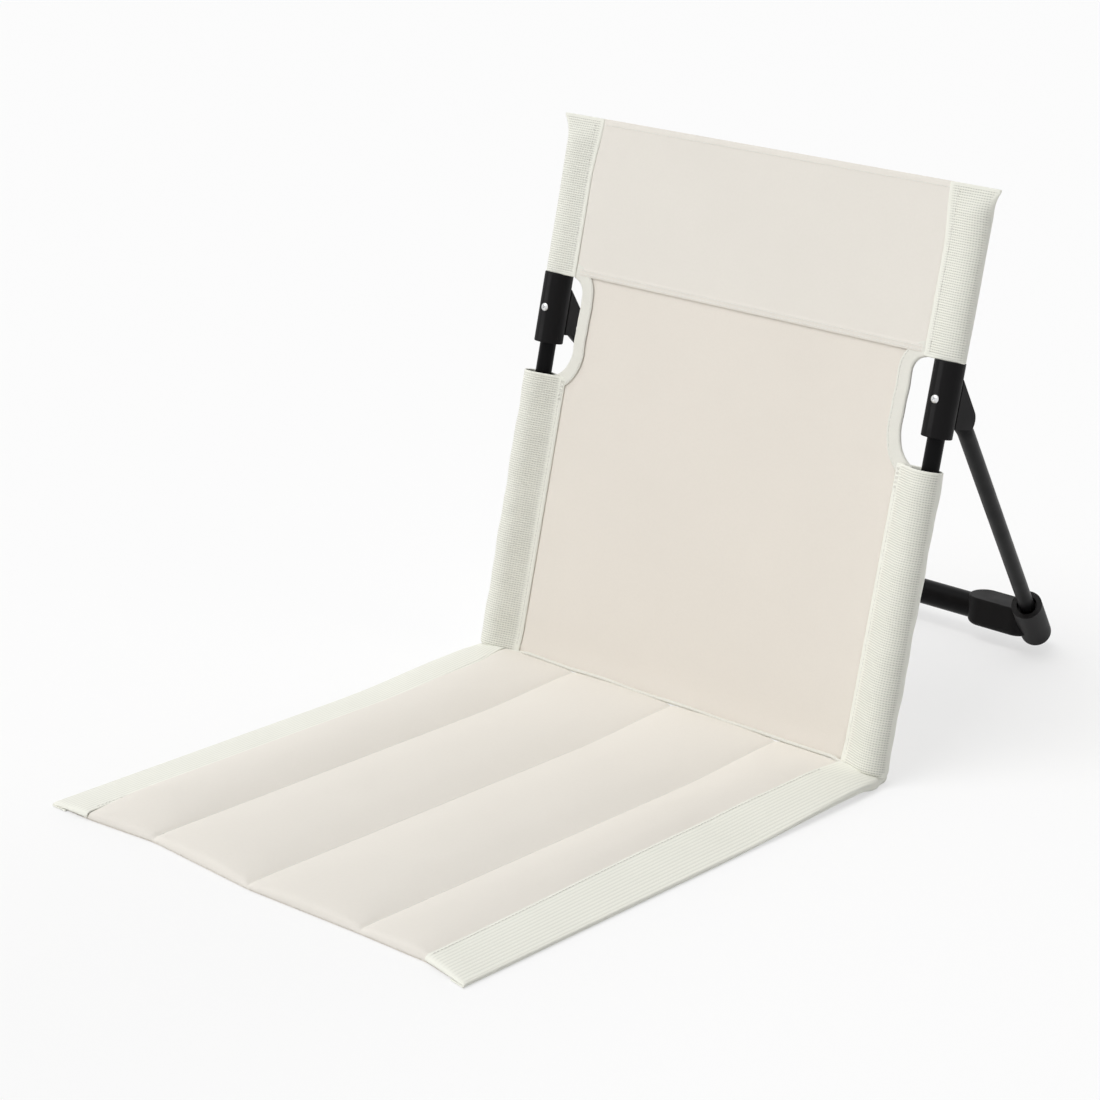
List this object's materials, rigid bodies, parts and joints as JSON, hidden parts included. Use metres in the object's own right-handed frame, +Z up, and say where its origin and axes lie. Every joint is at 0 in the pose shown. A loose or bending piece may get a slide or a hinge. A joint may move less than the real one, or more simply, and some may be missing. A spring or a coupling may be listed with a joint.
{
  "type": "legless folding floor chair",
  "caption": "Folding ground chair: padded seat mat on the floor, a cloth back sleeved on two leaning uprights and a rear prop that folds up behind the back.",
  "frame": {"origin": "on the floor under the rear edge of the seat mat, midway between the points where the axes of the two uprights meet the floor", "axes": "+X to the right of a person who faces the chair, +Y to the rear, +Z up"},
  "size_m": [0.416, 0.7886, 0.4295],
  "materials": {
    "black_tube": "satin black powder coat",
    "black_plastic": "matte moulded black",
    "rivet_steel": "plain bright steel",
    "ribbed_webbing": "ribbed off-white webbing",
    "binding_tape": "plain off-white tape",
    "back_cloth": "fine woven cream cloth",
    "seat_cloth": "fine woven off-white cloth",
    "foam": "soft open foam"
  },
  "bodies": {
    "seat": {"seat_top_cover": "seat_cloth", "seat_bottom_cover": "back_cloth", "seat_foam_strips": "foam", "left_seat_webbing": "ribbed_webbing", "right_seat_webbing": "ribbed_webbing"},
    "back": {"left_upright": "black_tube", "right_upright": "black_tube", "left_upright_top_cap": "black_plastic", "right_upright_top_cap": "black_plastic", "left_upright_foot_cap": "black_plastic", "right_upright_foot_cap": "black_plastic", "left_hinge_bracket": "black_plastic", "right_hinge_bracket": "black_plastic", "left_hinge_pin": "rivet_steel", "right_hinge_pin": "rivet_steel", "left_bracket_rivet": "rivet_steel", "right_bracket_rivet": "rivet_steel", "left_lower_sleeve": "ribbed_webbing", "right_lower_sleeve": "ribbed_webbing", "left_upper_sleeve": "ribbed_webbing", "right_upper_sleeve": "ribbed_webbing", "left_cutout_binding": "binding_tape", "right_cutout_binding": "binding_tape", "back_panel": "back_cloth", "headrest_panel": "seat_cloth", "seat_seam_piping": "binding_tape"},
    "rear_prop": {"left_prop_leg": "black_tube", "right_prop_leg": "black_tube", "left_leg_plug": "black_plastic", "right_leg_plug": "black_plastic", "left_foot_elbow": "black_plastic", "right_foot_elbow": "black_plastic", "prop_crossbar": "black_tube"}
  },
  "joints": [
    {"name": "back_fold", "type": "hinge", "parent": "seat", "child": "back", "pos_m": [0, -0.00299, 0.01], "axis": [1, 0, 0], "range_deg": [0, 98]},
    {"name": "prop_fold", "type": "hinge", "parent": "back", "child": "rear_prop", "pos_m": [0, 0.07884, 0.2603], "axis": [-1, 0, 0], "range_deg": [0, 57.5]}
  ]
}
